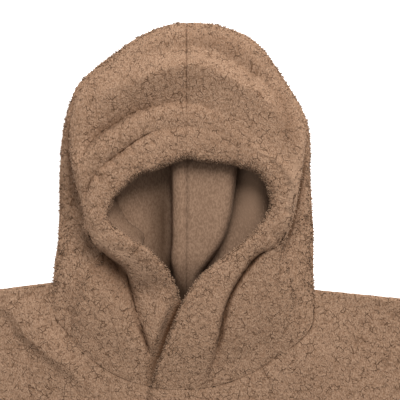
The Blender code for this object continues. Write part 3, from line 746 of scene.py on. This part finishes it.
def hood_shell(sections, side):
    """One half of the hood as a closed wall, and the lines that the neckline and the locks start from."""
    grid, places, stitch_shade = hood_middle(sections, side)
    normal = np.cross(np.gradient(grid, axis=1), np.gradient(grid, axis=0)) * side
    normal[-1, :, 0] = 0.0
    normal[:, -1, 0] = 0.0
    normal = unit(normal)
    from_neck, from_crown, from_hem, from_back = side_distances(grid)
    neck, crown = hood_seams(grid, places)
    thick = np.minimum.reduce([
        1 - neck * (1 - round_off(from_neck, NECK_GROOVE)),
        1 - crown * (1 - round_off(from_crown, CROWN_GROOVE)),
        round_off(from_hem, HEM_ROUND),
        1 - BACK_SHARE * FAINT * (1 - round_off(from_back, CROWN_GROOVE))])
    thick = np.maximum(thick, THINNEST)
    half = normal * (thick * WALL / 2)[..., None]
    outer, inner = grid + half, thin_out(grid - half)
    outer_ids = np.arange(thick.size).reshape(thick.shape)
    inner_ids = thick.size + np.arange(inner[..., 0].size).reshape(inner.shape[:2])
    outer_faces, inner_faces = quads(outer_ids), [quads(inner_ids)]
    if side > 0:
        inner_faces[0] = inner_faces[0][:, ::-1]
    else:
        outer_faces = outer_faces[:, ::-1]
    for axis, end, turn in ((0, 0, 1), (0, -1, -1), (1, 0, -1), (1, -1, 1)):
        fine, coarse = outer_ids.take(end, axis), inner_ids.take(end, axis)
        bridge = strip(fine, coarse, np.arange(len(fine)), INNER_STEP * np.arange(len(coarse)))
        inner_faces.append(bridge[:, ::-1] if turn * side > 0 else bridge)
    inner_faces = np.concatenate(inner_faces)
    brushed = (places[:-1] < EDGE - 0.6)[None].repeat(len(grid) - 1, axis=0).reshape(-1)
    # The pile side turns in with the hem as far as the face edge, and ends soon after the outline.
    tufted = 1 + 2.2 * np.exp(-((places - EDGE - 0.2) / 0.7) ** 2)
    pile = tufted * window(places, EDGE - 0.9, RIM + 0.9, 0.6, 1.2) * (0.35 + 0.65 * thick)
    seams = np.maximum(neck * smooth(1.2 - from_neck / 2), crown * smooth(1.2 - from_crown / 2))
    # Painted shade in the colour of the pile side and of the inside.
    shade = hood_shade(grid, places, side, stitch_shade, seams)
    inner_shade = thin_out(painted(INSIDE_PAINTED_SHADES, grid, places, side))
    # Painted highlights on the pile side, and painted light on the inside.
    painted_light = painted(PAINTED_HIGHLIGHTS, grid, places, side)
    inner_painted_light = thin_out(painted(INSIDE_PAINTED_LIGHT, grid, places, side))
    wall = {
        "points": np.concatenate([outer.reshape(-1, 3), inner.reshape(-1, 3)]),
        "faces": np.concatenate([outer_faces, inner_faces]),
        "kinds": np.concatenate([brushed, brushed, np.ones(len(inner_faces))]).astype(int),
        "pile": np.concatenate([pile.reshape(-1), np.zeros(inner_shade.size)]),
        "shade": np.concatenate([shade.reshape(-1), inner_shade.reshape(-1)]),
        "painted_light": np.concatenate([painted_light.reshape(-1), inner_painted_light.reshape(-1)]),
    }
    return wall, {"neck": grid[0], "places": places, "outer": outer, "normal": normal}


# ---- the body's cloth
def body_outline():
    """The body's edge from the right end of the shoulder, down the side, along the hem and up again."""
    half, low = BODY_WIDTH / 2, -BODY_LENGTH
    points = [(half, -SHOULDER_DROP)]
    for side in (1, -1):
        angles = np.linspace(0, math.pi / 2, 25)
        for angle in angles if side > 0 else angles[::-1]:
            x = side * (half - CORNER_RADIUS + CORNER_RADIUS * math.cos(angle))
            points.append((x, low + CORNER_RADIUS - CORNER_RADIUS * math.sin(angle)))
    points.append((-half, -SHOULDER_DROP))
    return np.array(points)


def distance_to(line, points):
    """Distance of each plan point from a line of close points, and which of them is nearest."""
    tree = KDTree(len(line))
    for i, (x, y) in enumerate(line[:, :2]):
        tree.insert((x, y, 0.0), i)
    tree.balance()
    found = [tree.find((x, y, 0.0)) for x, y in points]
    return np.array([f[2] for f in found]), np.array([f[1] for f in found])


def out_of_view(points):
    """How far outside the photograph's frame each plan point lies; 0 inside it."""
    return np.linalg.norm(np.maximum(abs(points - np.array(VIEW_CENTRE)) - VIEW_WIDTH / 2, 0), axis=1)


def scattered(low, high, spacing, seed):
    """Plan points in even rows, each moved a little."""
    columns = np.arange(low[0], high[0], spacing)
    rows = np.arange(low[1], high[1], spacing * 0.866)
    x, y = np.meshgrid(columns, rows)
    x = x + np.where(np.arange(len(rows)) % 2, spacing / 2, 0)[:, None]
    points = np.stack([x.ravel(), y.ravel()], axis=1)
    return points + np.random.default_rng(seed).uniform(-0.22, 0.22, points.shape) * spacing


def inset_rows(outline, distances):
    """Rows of points inside a closed outline, at the given distances from it."""
    inward = rightward(unit(np.roll(outline, -1, axis=0) - np.roll(outline, 1, axis=0)))
    return np.concatenate([outline + inward * d for d in distances])


def plan_mesh(outline, fill, rows):
    """A triangle mesh inside an outline. Its first points are the outline's own."""
    fill = fill[distance_to(outline, fill)[0] > rows[-1] + 0.4]
    points = np.concatenate([outline, inset_rows(outline, rows), fill])
    found = delaunay_2d_cdt([Vector(p) for p in points], [], [list(range(len(outline)))], 1, 1e-7)
    vertices = np.array([tuple(v) for v in found[0]])
    faces = np.array(found[2])
    a, b, c = (vertices[faces[:, k]] for k in range(3))
    turn = (b - a)[:, 0] * (c - a)[:, 1] - (b - a)[:, 1] * (c - a)[:, 0]
    faces[turn < 0] = faces[turn < 0][:, ::-1]
    return vertices, faces


def body_heights(points, facing, neck, shoulders, open_edge):
    """Outer and inner side of a body panel at plan points. facing: 1 for the front, -1 for the back."""
    d_neck, near_neck = distance_to(neck, points)
    d_seam, _ = distance_to(shoulders, points)
    d_open, _ = distance_to(open_edge, points)
    middle = np.full(len(points), FLOOR)
    if facing > 0:
        level = FLOOR + LAYER + SHOULDER_FULL * np.exp(-(d_seam / 16) ** 2)
        collar = np.maximum(neck[near_neck, 2], FLOOR + LAYER)
        middle = level + (collar - level) * smooth(1 - (d_neck - 3) / NECK_REACH)
        folds = np.maximum(relief(BODY_FOLDS.values(), points), 0)
        middle = middle + folds * smooth(d_neck / 25) * smooth(d_seam / 30)
    sewn = 1 - seam_show(neck[near_neck]) * (1 - round_off(d_neck, NECK_GROOVE))
    half = WALL / 2 * np.minimum(sewn, round_off(d_open, OPEN_ROUND))
    seam_z = FLOOR + (LAYER + SHOULDER_FULL) / 2 + facing * SEAM / 2
    curl = round_off(d_seam, SHOULDER_CURL)
    tuck = smooth((d_seam - WALL) / (2 * WALL))
    outer = seam_z + (middle + facing * half - seam_z) * curl
    inner = seam_z + (middle - facing * half - seam_z) * tuck
    return outer, inner


def body_panel(facing, neck):
    """One body panel as a closed wall. facing: 1 for the front, -1 for the back."""
    edge = body_outline()
    left, right = neck[0, :2], neck[-1, :2]
    up = np.array([0, FLOOR])
    right_seam = spaced(np.array([right + up, edge[0] + up]), FINE * 1.5)
    left_seam = spaced(np.array([edge[-1] + up, left + up]), FINE * 1.5)
    open_edge = spaced(edge, BACK_SPACING)
    outline = np.concatenate([neck[:, :2], right_seam[1:-1], open_edge, left_seam[1:-1]])
    low, high = outline.min(0), outline.max(0)
    # Spacing, and the reach of distances outside the photograph's frame where it holds.
    fills = ((UNDER_SPACING, 0, 2000),)
    if facing > 0:
        fills = ((FINE, 0, 14), (FINE * 2, 14, 60), (COARSE, 60, 2000))
    fill = []
    for k, (spacing, near, far) in enumerate(fills):
        some = scattered(low, high, spacing, 11 + k)
        away = out_of_view(some)
        fill.append(some[(away >= near) & (away < far)])
    vertices, faces = plan_mesh(outline, np.concatenate(fill), (0.4, 1.1, 2.2))
    coarse, coarse_faces = plan_mesh(outline, scattered(low, high, LINING_SPACING, 5), (1.5, 3.5))
    shoulders = np.concatenate([left_seam, right_seam])
    outer, _ = body_heights(vertices, facing, neck, shoulders, open_edge)
    _, inner = body_heights(coarse, facing, neck, shoulders, open_edge)
    # The two sides share the points of the outline.
    border = len(outline)
    top = np.concatenate([vertices, outer[:, None]], axis=1)
    bottom = np.concatenate([coarse[border:], inner[border:, None]], axis=1)
    ids = np.concatenate([np.arange(border), len(top) + np.arange(len(bottom))])
    from_neck, near_neck = distance_to(neck, vertices)
    # Painted shade in the groove over the neck seam.
    shade = SEAM_SHADE * seam_show(neck[near_neck]) * smooth(1.2 - from_neck / 2) * (facing > 0)
    pile = np.full(len(top), 1.0 if facing > 0 else 0.15)
    plain = np.zeros(len(bottom))
    all_faces = np.concatenate([faces, ids[coarse_faces][:, ::-1]])
    return {
        "points": np.concatenate([top, bottom]),
        "faces": all_faces if facing > 0 else all_faces[:, ::-1],
        "kinds": np.repeat([0, 1], [len(faces), len(coarse_faces)]),
        "pile": np.concatenate([pile, plain]),
        "shade": np.concatenate([shade, plain]),
        "painted_light": np.zeros(len(top) + len(bottom)),
    }


# ---- the pile
def point_normals(points, faces):
    normals = np.zeros_like(points)
    a, b, c = (points[faces[:, k]] for k in range(3))
    flat = np.cross(b - a, c - a)
    for k in range(3):
        for axis in range(3):
            normals[:, axis] += np.bincount(faces[:, k], flat[:, axis], len(points))
    return unit(normals)


def pile_height(points):
    """Height of the curly pile over its mean in millimetres, and how deep each point lies between tufts,
    which also darkens its colour as painted shade.
    """
    warp = [layered(points, ((7.0, 40 + k, 3.0), (3.2, 50 + k, 1.0))) for k in range(3)]
    first, second = cellular(points + np.stack(warp, axis=1), TUFT, 3)
    broken = layered(points, CREVICE_GAPS)
    crevice_and_shade = np.exp(-((second - first) * TUFT / CREVICE_WIDTH) ** 2) * smooth((broken - 0.25) / 0.5)
    return layered(points, PILE_LUMPS) - 0.5 * crevice_and_shade, crevice_and_shade


def brushed_height(points):
    """Height of the brushed side's streaks in millimetres."""
    return 0.12 * value_noise(points * np.array([1, 0.35, 1]), 2.2, 90)


# ---- materials
def new_material(name, looks):
    """A material whose shader has the given values on its own sockets, and that shader."""
    material = bpy.data.materials.new(name)
    material.use_nodes = True
    shader = material.node_tree.nodes["Principled BSDF"]
    for socket, value in looks.items():
        shader.inputs[socket].default_value = value
    return material, shader


def node(tree, kind, inputs, **settings):
    """A new node. Each input is a number, a colour or another node's output."""
    made = tree.nodes.new("ShaderNode" + kind)
    made.location = (200 * (len(tree.nodes) % 8 - 10), 300 * (len(tree.nodes) // 8))
    for name, value in settings.items():
        setattr(made, name, value)
    for socket, value in inputs.items():
        if isinstance(value, bpy.types.NodeSocket):
            tree.links.new(value, made.inputs[socket])
        else:
            made.inputs[socket].default_value = value
    return made.outputs


def noise(tree, vector, size, detail=2.0, roughness=0.5, output="Fac"):
    """A noise texture whose lumps are about the given size in metres."""
    looks = {"Vector": vector, "Scale": 1 / size, "Detail": detail, "Roughness": roughness}
    return node(tree, "TexNoise", looks)[output]


def maths(tree, operation, *values):
    return node(tree, "Math", dict(enumerate(values)), operation=operation)[0]


def ramp(tree, value, low, high, to_low=0.0, to_high=1.0):
    """The value from low to high, spread smoothly over a new range."""
    ends = {"Value": value, "From Min": low, "From Max": high, "To Min": to_low, "To Max": to_high}
    return node(tree, "MapRange", ends, interpolation_type="SMOOTHSTEP")["Result"]


def cracks(tree, vector, size, width, broken, often):
    """Thin broken lines where tufts of the pile part: 1 in their middle."""
    cells = node(tree, "TexVoronoi", {"Scale": 1 / size, "Vector": vector}, feature="DISTANCE_TO_EDGE")
    line = ramp(tree, cells["Distance"], 0.0, width / size, 1.0, 0.0)
    gate = ramp(tree, noise(tree, vector, broken, 2.0, 0.6), often, often + 0.14)
    return maths(tree, "MULTIPLY", line, gate)


def mix_colour(tree, share, first, second):
    return node(tree, "Mix", {"Factor": share, 6: first, 7: second}, data_type="RGBA")[2]


def attribute(tree, name):
    """A number that cloth_piece writes at each point of the mesh."""
    return node(tree, "Attribute", {}, attribute_name=name)["Fac"]


def fleece_material(name, base, dark, light, curl, depth, parting, fold_shade, own_shade, deepest, openest):
    """Fleece: fine curls of pile that part in thin lines of painted shade, with painted shade in its
    crevices and folds and painted highlights from a point attribute.

    curl: size of a curl. depth: how high the curls stand. parting: how dark the painted shade in the lines
    is.
    fold_shade: reach of the painted shade in folds, from ambient occlusion, which has a share of 1 at
    deepest and 0 at openest.
    """
    material, shader = new_material(name, {
        "Roughness": 0.95, "Specular IOR Level": 0.03, "Sheen Weight": 0.04, "Sheen Roughness": 0.45,
        "Sheen Tint": (0.95, 0.76, 0.58, 1)})
    tree = material.node_tree
    place = node(tree, "TexCoord", {})["Object"]
    bend = {0: noise(tree, place, 1 / 110.0, output="Color"), 1: LINE_BEND, 2: place}
    bent = node(tree, "VectorMath", bend, operation="MULTIPLY_ADD")[0]
    long_lines = cracks(tree, bent, *LONG_PARTINGS)
    short_lines = cracks(tree, bent, *SHORT_PARTINGS)
    lines = maths(tree, "MAXIMUM", long_lines, maths(tree, "MULTIPLY", short_lines, 0.6))
    combed = node(tree, "VectorMath", {0: place, 1: (1.0, 0.45, 0.7)}, operation="MULTIPLY")[0]
    tufts = noise(tree, combed, curl * 2.1, 1.0)
    fine = maths(tree, "MULTIPLY_ADD", tufts, 0.25, noise(tree, combed, curl, 1.0, 0.6))
    tone = maths(tree, "MULTIPLY_ADD", noise(tree, place, 0.03, 3.0), 0.12, fine)
    # Random tone of the curls, and painted highlights.
    tone_and_highlight = maths(tree, "MAXIMUM", ramp(tree, tone, 0.5, 0.87), attribute(tree, "painted_light"))
    colour = mix_colour(tree, tone_and_highlight, base, light)
    # Painted shade: the partings, the pile's crevices and the painted marks darken the colour.
    deep = maths(tree, "MAXIMUM", maths(tree, "MULTIPLY", lines, parting), attribute(tree, "crevice_and_shade"))
    colour = mix_colour(tree, deep, colour, dark)
    # Painted shade in folds: ambient occlusion darkens the colour.
    occlusion = node(tree, "AmbientOcclusion", {"Distance": fold_shade}, samples=12, only_local=own_shade)["AO"]
    colour = mix_colour(tree, ramp(tree, occlusion, deepest, openest), dark, colour)
    tree.links.new(colour, shader.inputs["Base Color"])
    height = maths(tree, "MULTIPLY_ADD", lines, -0.8 * parting, fine)
    bump = node(tree, "Bump", {"Strength": 1.0, "Distance": depth, "Height": height})["Normal"]
    tree.links.new(bump, shader.inputs["Normal"])
    return material


PILE = fleece_material(
    "curly_pile", base=(0.252, 0.146, 0.088, 1), dark=(0.090, 0.040, 0.018, 1),
    light=(0.392, 0.248, 0.163, 1), curl=0.00105, depth=0.0014, parting=0.78, fold_shade=0.012,
    own_shade=True, deepest=0.15, openest=0.95)
LOCKS = fleece_material(
    "pile_locks", base=(0.295, 0.180, 0.113, 1), dark=(0.115, 0.058, 0.031, 1),
    light=(0.420, 0.278, 0.188, 1), curl=0.00105, depth=0.0008, parting=0.6, fold_shade=0.003,
    own_shade=True, deepest=0.0, openest=0.95)
BRUSHED = fleece_material(
    "brushed_inside", base=(0.194, 0.117, 0.075, 1), dark=(0.055, 0.030, 0.017, 1),
    light=(0.285, 0.180, 0.118, 1), curl=0.0014, depth=0.0004, parting=0.05, fold_shade=0.022,
    own_shade=False, deepest=0.0, openest=0.75)


# ---- pieces
def add_piece(name, points, faces, materials, kinds=None, numbers=()):
    """A mesh object on the part's body, from points in the tables' millimetres."""
    mesh = bpy.data.meshes.new(name)
    mesh.from_pydata(((points - np.array([0, Y_CENTRE, 0])) * MM).tolist(), [], faces.tolist())
    mesh.update()
    for label, values in numbers:
        layer = mesh.attributes.new(label, "FLOAT", "POINT")
        layer.data.foreach_set("value", values.astype(np.float32))
    for material in materials:
        mesh.materials.append(material)
    if kinds is not None:
        mesh.polygons.foreach_set("material_index", kinds.astype(np.int32))
    mesh.shade_smooth()
    piece = bpy.data.objects.new(name, mesh)
    bpy.context.scene.collection.objects.link(piece)
    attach(piece, "root")
    return piece


def cloth_piece(name, wall):
    """A piece of fleece: its wall with the pile raised on one side and the brushed side plain."""
    points, pile = wall["points"], wall["pile"]
    raised = pile > 0.01
    height = np.zeros(len(points))
    crevice_and_shade = np.zeros(len(points))
    height[raised], crevice_and_shade[raised] = pile_height(points[raised])
    height *= pile
    # Painted shade: the crevices between tufts and the wall's painted shade darken the colour.
    crevice_and_shade = np.maximum(crevice_and_shade * np.minimum(pile * 1.3, 1) * 0.35, wall["shade"])
    height[~raised] = brushed_height(points[~raised])
    moved = points + point_normals(points, wall["faces"]) * height[:, None]
    moved[abs(points[:, 0]) < 1e-6, 0] = -np.sign(points[:, 0].mean()) * SEAM / 2
    moved[:, 2] = np.maximum(moved[:, 2], 0.0)
    numbers = (("crevice_and_shade", crevice_and_shade), ("painted_light", wall["painted_light"]))
    return add_piece(name, moved, wall["faces"], (PILE, BRUSHED), wall["kinds"], numbers)


def locks(name, roots, normals, seed):
    """Small bent locks of pile, three-sided and pointed, that stand on the given roots."""
    draw = np.random.default_rng(seed)
    count = len(roots)
    along = unit(normals + draw.normal(0, 0.55, (count, 3)))
    bend = unit(along + draw.normal(0, 0.6, (count, 3)))
    across = unit(np.cross(along, draw.normal(0, 1, (count, 3))))
    other = np.cross(along, across)
    length = draw.uniform(*LOCK_LENGTH, count)[:, None]
    width = draw.uniform(*LOCK_WIDTH, count)[:, None] / 2
    middle = roots + along * length * 0.5
    corners = []
    for centre, radius in ((roots - normals * 1.0, width), (middle, width * 0.85)):
        for k in range(3):
            angle = math.radians(120 * k)
            corners.append(centre + radius * (across * math.cos(angle) + other * math.sin(angle)))
    corners.append(middle + bend * length * 0.5)
    points = np.stack(corners, axis=1).reshape(-1, 3)
    points[:, 2] = np.maximum(points[:, 2], 0.0)
    pattern = [(2, 1, 0), (3, 4, 6), (4, 5, 6), (5, 3, 6)]
    pattern += [(k, (k + 1) % 3, 3 + (k + 1) % 3) for k in range(3)]
    pattern += [(k, 3 + (k + 1) % 3, 3 + k) for k in range(3)]
    faces = (np.array(pattern)[None] + np.arange(count)[:, None, None] * len(corners)).reshape(-1, 3)
    return add_piece(name, points, faces, (LOCKS,))


def lock_roots(lines, bands, seed):
    """Roots and outward directions of locks scattered about the given places of a hood half."""
    draw = np.random.default_rng(seed)
    outer, places = lines["outer"], lines["places"]
    roots, normals = [], []
    for centre, spread, count in bands:
        column = np.interp(draw.normal(centre, spread, count), places, np.arange(len(places)))
        row = draw.uniform(2, len(outer) - 3, count)
        i, j = row.astype(int), np.minimum(column.astype(int), len(places) - 2)
        u, v = (row - i)[:, None], (column - j)[:, None]
        for values, found in ((outer, roots), (lines["normal"], normals)):
            upper = values[i, j] * (1 - v) + values[i, j + 1] * v
            lower = values[i + 1, j] * (1 - v) + values[i + 1, j + 1] * v
            found.append(upper * (1 - u) + lower * u)
    return np.concatenate(roots), unit(np.concatenate(normals))


def shoulder_roots(neck, seed):
    """Roots and outward directions of locks along the shoulder seams."""
    draw = np.random.default_rng(seed)
    ends = ((neck[0, :2], np.array([-BODY_WIDTH / 2, -SHOULDER_DROP + FLOOR])),
            (neck[-1, :2], np.array([BODY_WIDTH / 2, -SHOULDER_DROP + FLOOR])))
    roots = []
    for start, end in ends:
        share = draw.uniform(0.01, 0.99, SHOULDER_LOCKS // 2)[:, None]
        plan = start * (1 - share) + end * share - np.array([0, 1.4])
        height = FLOOR + draw.uniform(LAYER * 0.4, LAYER + SHOULDER_FULL, SHOULDER_LOCKS // 2)
        roots.append(np.concatenate([plan, height[:, None]], axis=1))
    roots = np.concatenate(roots)
    return roots, unit(np.array([0, 0.8, 0.6]) + np.zeros_like(roots))


def neckline(front):
    """The body's neckline: the hood's own edge points, a seam's gap further out, left to right."""
    parts = []
    for label in ("left", "right"):
        line, places = halves[label]["neck"], halves[label]["places"]
        if front:
            first = GROOVE + 0.5 if label == "left" else EDGE + 0.5
            part = line[(places >= first) & (places <= RIM)]
        else:
            part = line[(places >= RIM) & (places < places[-1])]
        parts.append(part[::-1] if front == (label == "left") else part)
    line = spaced(np.concatenate(parts), FINE)
    away = rightward(unit(np.gradient(line[:, :2], axis=0)))
    lengths = arc_lengths(line)
    corner = np.minimum(lengths, lengths[-1] - lengths)
    line[:, :2] += away * (EDGE_GAP + END_GAP * np.exp(-(corner / 5) ** 2))[:, None]
    return line


halves = {}
for label, sections, side in (("left", LEFT_SECTIONS, -1), ("right", RIGHT_SECTIONS, 1)):
    wall, halves[label] = hood_shell(sections, side)
    piece = cloth_piece("hood_" + label + "_cloth", wall)
    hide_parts("hood_" + label)
    roots = lock_roots(halves[label], LOCK_BANDS, 21 + side)
    fringe = locks("hood_" + label + "_locks", *roots, 31 + side)

for label, facing in (("front", 1), ("back", -1)):
    piece = cloth_piece(label + "_cloth", body_panel(facing, neckline(facing > 0)))
    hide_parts(label)
    fringe = []
    if facing > 0:
        fringe = [locks("shoulder_locks", *shoulder_roots(neckline(True), 51), 52)]


# ---- stage, light and camera
def place_object(name, data, location):
    item = bpy.data.objects.new(name, data)
    item.location = location
    bpy.context.scene.collection.objects.link(item)
    return item


bpy.ops.mesh.primitive_plane_add(size=24.0, location=(0, 0, -0.0002))
floor = bpy.context.object
floor.name = "floor"
floor.data.materials.append(new_material("white_ground", {
    "Base Color": (0.9, 0.9, 0.9, 1), "Roughness": 0.9, "Emission Color": (1, 1, 1, 1),
    "Emission Strength": 0.9})[0])

world = bpy.data.worlds.new("studio")
world.use_nodes = True
world.node_tree.nodes["Background"].inputs["Color"].default_value = (1, 1, 1, 1)
world.node_tree.nodes["Background"].inputs["Strength"].default_value = 0.46
bpy.context.scene.world = world

# The key light stands beyond the crown, a little to the right, and points at the hood.
lamp = bpy.data.lights.new("key", "AREA")
lamp.shape = "DISK"
lamp.size = 1.6
lamp.energy = 86
key = place_object("key", lamp, (0.45, 2.05, 2.1))
key.rotation_euler = (Vector((0.0, 0.3, 0.0)) - key.location).to_track_quat("-Z", "Y").to_euler()

lens = bpy.data.cameras.new("camera")
lens.lens = LENS
lens.sensor_width = SENSOR
lens.clip_end = 100.0
height = VIEW_WIDTH * MM * LENS / SENSOR
spot = (VIEW_CENTRE[0] * MM, (VIEW_CENTRE[1] - Y_CENTRE) * MM, height)
bpy.context.scene.camera = place_object("camera", lens, spot)
bpy.context.scene.view_settings.view_transform = "Standard"
